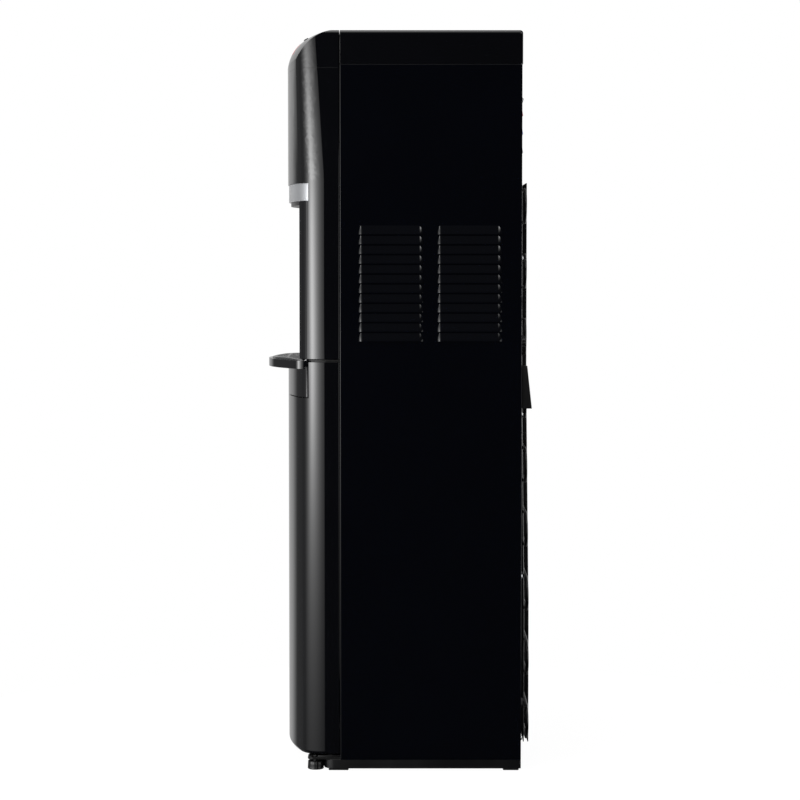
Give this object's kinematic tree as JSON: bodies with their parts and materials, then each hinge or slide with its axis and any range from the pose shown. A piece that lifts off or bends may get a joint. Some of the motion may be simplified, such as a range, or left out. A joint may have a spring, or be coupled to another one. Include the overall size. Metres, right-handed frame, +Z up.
{
  "type": "water dispenser",
  "caption": "Tall floor-standing bottom-load water dispenser with curved front, recessed dispensing alcove, drip tray, hinged bottle door, louvred sides and rear condenser.",
  "frame": {"origin": "on the floor under the middle of the whole object's box", "axes": "front faces -Y, +Z up, the door's hinge side is +X"},
  "size_m": [0.316, 0.376, 1.04],
  "materials": {
    "black_gloss": "gloss",
    "black_satin": "satin",
    "black_enamel": "gloss enamel",
    "silver_trim": "metallic lacquer",
    "dark_steel": "satin",
    "zinc_steel": "zinc plated",
    "stainless": "brushed",
    "white_plastic": "matte",
    "grey_plastic": "matte",
    "clear_lens": "translucent",
    "rubber_black": "matte",
    "silicone": "translucent",
    "copper": "bright",
    "foam": "matte",
    "wool_jacket": "matte",
    "board_green": "satin",
    "ceramic_magnet": "matte",
    "button_blue": "gloss",
    "button_white": "gloss",
    "button_red": "gloss",
    "grille_grey": "satin"
  },
  "bodies": {
    "cabinet": {"plinth": "black_satin", "foot_pads": "rubber_black", "foot_brackets": "dark_steel", "front_frame": "dark_steel", "right_side_panel": "black_enamel", "left_side_panel": "black_enamel", "rear_panel": "dark_steel", "case_screws": "zinc_steel", "top_cover": "black_gloss", "head_cap": "black_gloss", "control_board": "board_green", "front_fascia": "black_gloss", "trim_band": "silver_trim", "alcove_liner": "black_satin", "nozzle_plate": "black_satin", "spouts": "grey_plastic", "solenoid_valves": "white_plastic", "alcove_lamp": "clear_lens", "hinge_pins": "zinc_steel", "catch_plates": "zinc_steel", "bottle_floor": "grey_plastic", "mid_shelf": "zinc_steel", "probe_hanger": "zinc_steel", "bottle_probe": "white_plastic", "compressor": "dark_steel", "compressor_grommets": "rubber_black", "relay_cover": "grey_plastic", "water_pump": "grey_plastic", "refrigerant_lines": "copper", "power_board": "board_green", "tank_deck": "zinc_steel", "cold_tank": "stainless", "evaporator_coil": "copper", "cold_foam": "foam", "hot_tank": "stainless", "heater_band": "zinc_steel", "hot_jacket": "wool_jacket", "water_hoses": "silicone", "condenser": "dark_steel", "condenser_clips": "grey_plastic", "wall_spacers": "black_satin", "switch_bezel": "black_satin", "drain_pipe": "white_plastic", "cord_inlet": "rubber_black"},
    "left_levelling_foot": {"left_levelling_foot": "black_satin"},
    "right_levelling_foot": {"right_levelling_foot": "black_satin"},
    "door": {"door_skin": "black_gloss", "door_liner": "dark_steel", "hinge_bushes": "white_plastic", "door_magnets": "ceramic_magnet"},
    "tray": {"drip_tray": "black_gloss"},
    "grille": {"drip_grille": "grille_grey"},
    "cold_button": {"cold_button": "button_blue"},
    "room_button": {"room_button": "button_white"},
    "hot_button": {"hot_button": "button_red"},
    "child_lock": {"child_lock": "black_gloss"},
    "heating_switch": {"heating_switch": "button_red"},
    "cooling_switch": {"cooling_switch": "button_blue"},
    "lamp_switch": {"lamp_switch": "grey_plastic"},
    "drain_cap": {"drain_cap": "black_satin"}
  },
  "joints": [
    {"name": "door_hinge", "type": "hinge", "parent": "cabinet", "child": "door", "pos_m": [0.144, -0.093, 0.3], "axis": [0, 0, 1], "range_deg": [0, 90]},
    {"name": "tray_slide", "type": "slide", "parent": "door", "child": "tray", "axis": [0, -1, 0], "range_m": [0, 0.08]},
    {"name": "grille_lift", "type": "slide", "parent": "tray", "child": "grille", "axis": [0, 0, 1], "range_m": [0, 0.1]},
    {"name": "cold_button_press", "type": "slide", "parent": "cabinet", "child": "cold_button", "axis": [0.0711, 0.7848, -0.6157], "range_m": [0, 0.0025], "stiffness_N_per_m": 400},
    {"name": "room_button_press", "type": "slide", "parent": "cabinet", "child": "room_button", "axis": [0, 0.788, -0.6157], "range_m": [0, 0.0025], "stiffness_N_per_m": 400},
    {"name": "hot_button_press", "type": "slide", "parent": "cabinet", "child": "hot_button", "axis": [-0.0711, 0.7848, -0.6157], "range_m": [0, 0.0025], "stiffness_N_per_m": 400},
    {"name": "child_lock_slide", "type": "slide", "parent": "cabinet", "child": "child_lock", "axis": [0.9959, 0.0903, 0], "range_m": [0, 0.007]},
    {"name": "heating_switch_rock", "type": "hinge", "parent": "cabinet", "child": "heating_switch", "pos_m": [0.112, 0.1695, 0.931], "axis": [1, 0, 0], "range_deg": [-8, 0]},
    {"name": "cooling_switch_rock", "type": "hinge", "parent": "cabinet", "child": "cooling_switch", "pos_m": [0.112, 0.1695, 0.905], "axis": [1, 0, 0], "range_deg": [-8, 0]},
    {"name": "lamp_switch_rock", "type": "hinge", "parent": "cabinet", "child": "lamp_switch", "pos_m": [0.112, 0.1695, 0.879], "axis": [1, 0, 0], "range_deg": [-8, 0]},
    {"name": "left_foot_turn", "type": "hinge", "parent": "cabinet", "child": "left_levelling_foot", "pos_m": [-0.1395, -0.1165, 0.006], "axis": [0, 0, 1], "continuous": true},
    {"name": "right_foot_turn", "type": "hinge", "parent": "cabinet", "child": "right_levelling_foot", "pos_m": [0.1395, -0.1165, 0.006], "axis": [0, 0, 1], "continuous": true},
    {"name": "drain_cap_turn", "type": "hinge", "parent": "cabinet", "child": "drain_cap", "pos_m": [0.118, 0.178, 0.6], "axis": [0, 1, 0], "continuous": true}
  ]
}
